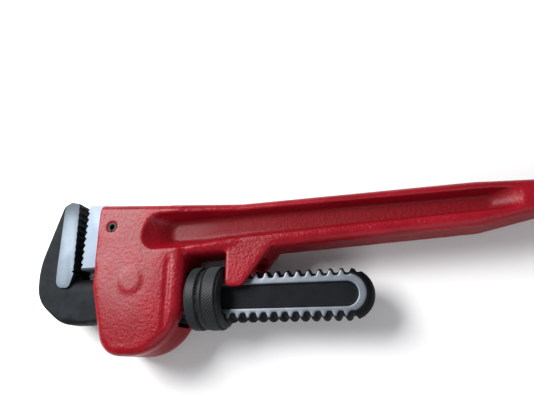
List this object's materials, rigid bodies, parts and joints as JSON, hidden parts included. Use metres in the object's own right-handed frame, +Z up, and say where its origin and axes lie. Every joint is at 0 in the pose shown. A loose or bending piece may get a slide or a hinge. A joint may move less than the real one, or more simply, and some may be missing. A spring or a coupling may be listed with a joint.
{
  "type": "pipe wrench",
  "caption": "Heavy-duty straight pipe wrench with an adjustable sprung hook jaw on a threaded shank, a knurled adjusting nut, a pinned heel jaw and a cast I-section handle.",
  "frame": {"origin": "middle of the footprint of the wrench lying flat, on the bench surface under the adjusting nut", "axes": "+X along the threaded shank towards the grip end, +Y towards the side on which the jaws open, +Z up through the tool's thickness"},
  "size_m": [0.296, 0.0886, 0.0328],
  "materials": {
    "red_casting": "glossy enamel over cast iron",
    "jaw_steel": "ground",
    "black_forging": "black oxide with ground flats",
    "black_nut": "black oxide, knurled",
    "spring_steel": "oiled"
  },
  "bodies": {
    "handle_assembly": {"handle": "red_casting", "heel_jaw": "jaw_steel", "heel_jaw_pin": "spring_steel"},
    "spring_assembly": {"flat_spring": "spring_steel", "spring_rivet": "spring_steel", "coil_spring": "spring_steel"},
    "hook": {"hook_jaw": "black_forging"},
    "nut": {"adjusting_nut": "black_nut"}
  },
  "joints": [
    {"name": "hook_rock", "type": "hinge", "parent": "handle_assembly", "child": "spring_assembly", "pos_m": [-0.0392, -0.0151, 0.0164], "axis": [0, 0, 1], "range_deg": [0, 2.5], "stiffness_Nm_per_rad": 6, "springref_deg": -4.58},
    {"name": "jaw_slide", "type": "slide", "parent": "spring_assembly", "child": "hook", "axis": [-1, 0, 0], "range_m": [-0.0042, 0.054]},
    {"name": "nut_spin", "type": "hinge", "parent": "spring_assembly", "child": "nut", "pos_m": [-0.0396, -0.0151, 0.0164], "axis": [1, 0, 0], "range_deg": [-285, 3600]}
  ],
  "couplings": [
    {"joint": "nut_spin", "follows": "jaw_slide", "rad_per_m": 1161.4}
  ]
}
